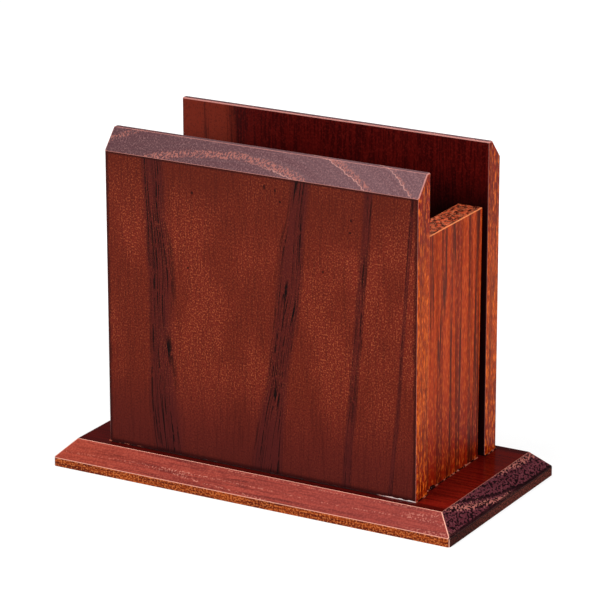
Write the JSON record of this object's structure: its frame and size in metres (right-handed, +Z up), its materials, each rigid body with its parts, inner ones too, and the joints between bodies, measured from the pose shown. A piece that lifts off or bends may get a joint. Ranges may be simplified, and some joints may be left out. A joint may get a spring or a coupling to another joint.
{
  "type": "napkin holder",
  "caption": "Wooden holder that stands paper napkins upright between two tall bevelled boards on a bevelled base plate.",
  "frame": {"origin": "middle of the underside of the base plate", "axes": "+X to the right along the front board, +Y towards the back board, +Z up"},
  "size_m": [0.2, 0.1, 0.156],
  "materials": {
    "base_wood": "gloss",
    "board_wood": "satin",
    "side_wood": "satin",
    "dowel_wood": "matte",
    "screw_steel": "satin"
  },
  "bodies": {
    "root": {"base_plate": "base_wood", "front_board": "board_wood", "back_board": "board_wood", "side_right": "side_wood", "side_left": "side_wood", "base_screws": "screw_steel", "side_dowels": "dowel_wood"}
  },
  "joints": []
}
